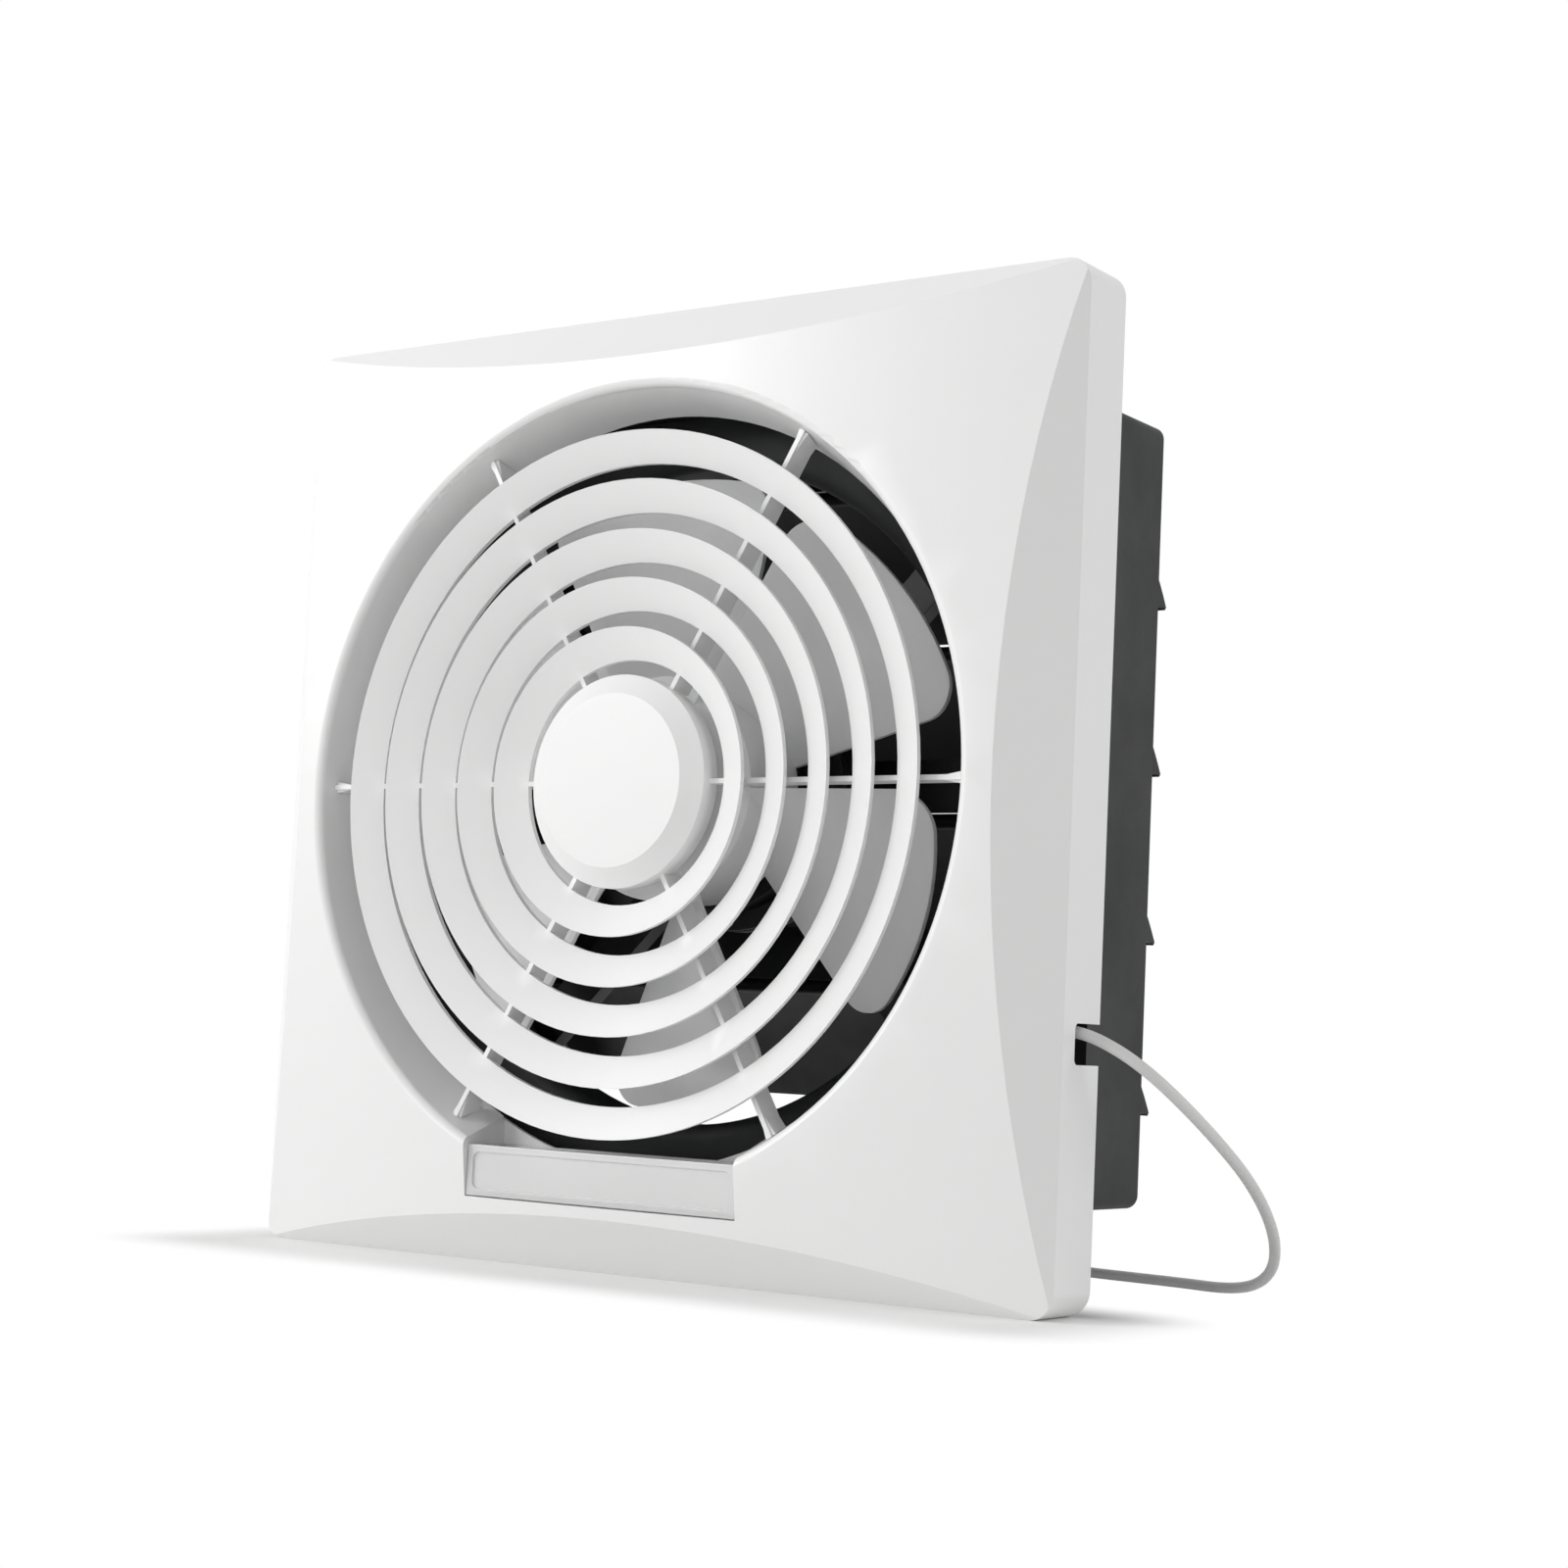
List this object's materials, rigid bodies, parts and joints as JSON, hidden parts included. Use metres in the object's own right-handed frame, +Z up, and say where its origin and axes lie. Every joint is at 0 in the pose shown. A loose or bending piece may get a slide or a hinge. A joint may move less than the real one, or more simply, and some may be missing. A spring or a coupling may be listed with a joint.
{
  "type": "wall exhaust fan with ring grille and rear louvre shutter",
  "caption": "Square wall exhaust fan: white ring-grille front panel with clear oil cup, white axial impeller, charcoal wall frame, louvre shutter at the rear and a thin pale power cord",
  "frame": {"origin": "centre of the four fixing screws, on the wall's face, where the back of the flange lies", "axes": "+Y out through the wall away from the room, +Z up, +X to the right of someone in the room who looks at the panel"},
  "size_m": [0.3835, 0.2028, 0.35],
  "materials": {
    "white_plastic": "white moulded ABS with a soft gloss",
    "clear_plastic": "clear moulded polycarbonate, slightly smoked by the dark bay behind it",
    "charcoal_plastic": "charcoal moulded plastic, matte and slightly mottled",
    "black_plastic": "black moulded plastic",
    "pale_plastic": "white moulded polypropylene",
    "motor_steel": "black enamelled sheet steel",
    "lamination_steel": "stacked steel laminations",
    "copper_wire": "enamelled copper wire",
    "zinc_steel": "bright zinc plated steel",
    "pale_rubber": "pale grey soft PVC",
    "black_rubber": "black soft PVC",
    "brass_pins": "bright brass"
  },
  "bodies": {
    "fan_body": {"front_panel": "white_plastic", "ring_grille": "white_plastic", "body_frame": "charcoal_plastic", "orifice_ring": "charcoal_plastic", "orifice_screws": "zinc_steel", "panel_clips": "zinc_steel", "motor_bracket": "black_plastic", "bracket_screws": "zinc_steel", "motor_front_bell": "motor_steel", "motor_rear_bell": "motor_steel", "motor_screws": "zinc_steel", "stator_core": "lamination_steel", "stator_windings": "copper_wire", "front_bearing": "zinc_steel", "rear_bearing": "zinc_steel", "shutter_frame": "charcoal_plastic", "shutter_screws": "zinc_steel", "shutter_motor": "motor_steel", "terminal_cover": "black_plastic", "terminal_block": "pale_plastic", "motor_lead": "black_rubber", "capacitor": "black_plastic", "capacitor_strap": "zinc_steel", "cord_bush": "pale_rubber", "power_cord": "pale_rubber", "cord_coil": "pale_rubber", "coil_tie": "black_rubber", "plug_body": "pale_rubber", "plug_pins": "brass_pins"},
    "impeller": {"impeller": "pale_plastic", "spinner_nut": "pale_plastic", "drive_pin": "zinc_steel", "motor_shaft": "zinc_steel", "rotor": "lamination_steel"},
    "oil_cup": {"oil_cup": "clear_plastic"},
    "tie_rod": {"tie_rod": "black_plastic"},
    "drive_crank": {"drive_crank": "motor_steel"},
    "louvre_1": {"louvre_1": "charcoal_plastic"},
    "louvre_2": {"louvre_2": "charcoal_plastic"},
    "louvre_3": {"louvre_3": "charcoal_plastic"},
    "louvre_4": {"louvre_4": "charcoal_plastic"}
  },
  "joints": [
    {"name": "impeller_spin", "type": "hinge", "parent": "fan_body", "child": "impeller", "pos_m": [0, 0, 0], "axis": [0, -1, 0], "continuous": true},
    {"name": "oil_cup_slide", "type": "slide", "parent": "fan_body", "child": "oil_cup", "axis": [0, -1, 0], "range_m": [0, 0.024]},
    {"name": "louvre_1_hinge", "type": "hinge", "parent": "fan_body", "child": "louvre_1", "pos_m": [0, 0.0785, 0.124], "axis": [1, 0, 0], "range_deg": [-43, 0]},
    {"name": "louvre_2_hinge", "type": "hinge", "parent": "fan_body", "child": "louvre_2", "pos_m": [0, 0.0785, 0.06], "axis": [1, 0, 0], "range_deg": [-43, 0]},
    {"name": "louvre_3_hinge", "type": "hinge", "parent": "fan_body", "child": "louvre_3", "pos_m": [0, 0.0785, -0.004], "axis": [1, 0, 0], "range_deg": [-43, 0]},
    {"name": "louvre_4_hinge", "type": "hinge", "parent": "fan_body", "child": "louvre_4", "pos_m": [0, 0.0785, -0.068], "axis": [1, 0, 0], "range_deg": [-43, 0]},
    {"name": "tie_rod_pin", "type": "hinge", "parent": "louvre_1", "child": "tie_rod", "pos_m": [0.1161, 0.06388, 0.11749], "axis": [1, 0, 0], "range_deg": [0, 43]},
    {"name": "drive_crank_turn", "type": "hinge", "parent": "fan_body", "child": "drive_crank", "pos_m": [0.118, 0.05, 0.028], "axis": [1, 0, 0], "range_deg": [-43, 0]}
  ],
  "couplings": [
    {"joint": "louvre_2_hinge", "follows": "louvre_1_hinge", "ratio": 1},
    {"joint": "louvre_3_hinge", "follows": "louvre_1_hinge", "ratio": 1},
    {"joint": "louvre_4_hinge", "follows": "louvre_1_hinge", "ratio": 1},
    {"joint": "tie_rod_pin", "follows": "louvre_1_hinge", "ratio": -1},
    {"joint": "drive_crank_turn", "follows": "louvre_1_hinge", "ratio": 1}
  ]
}
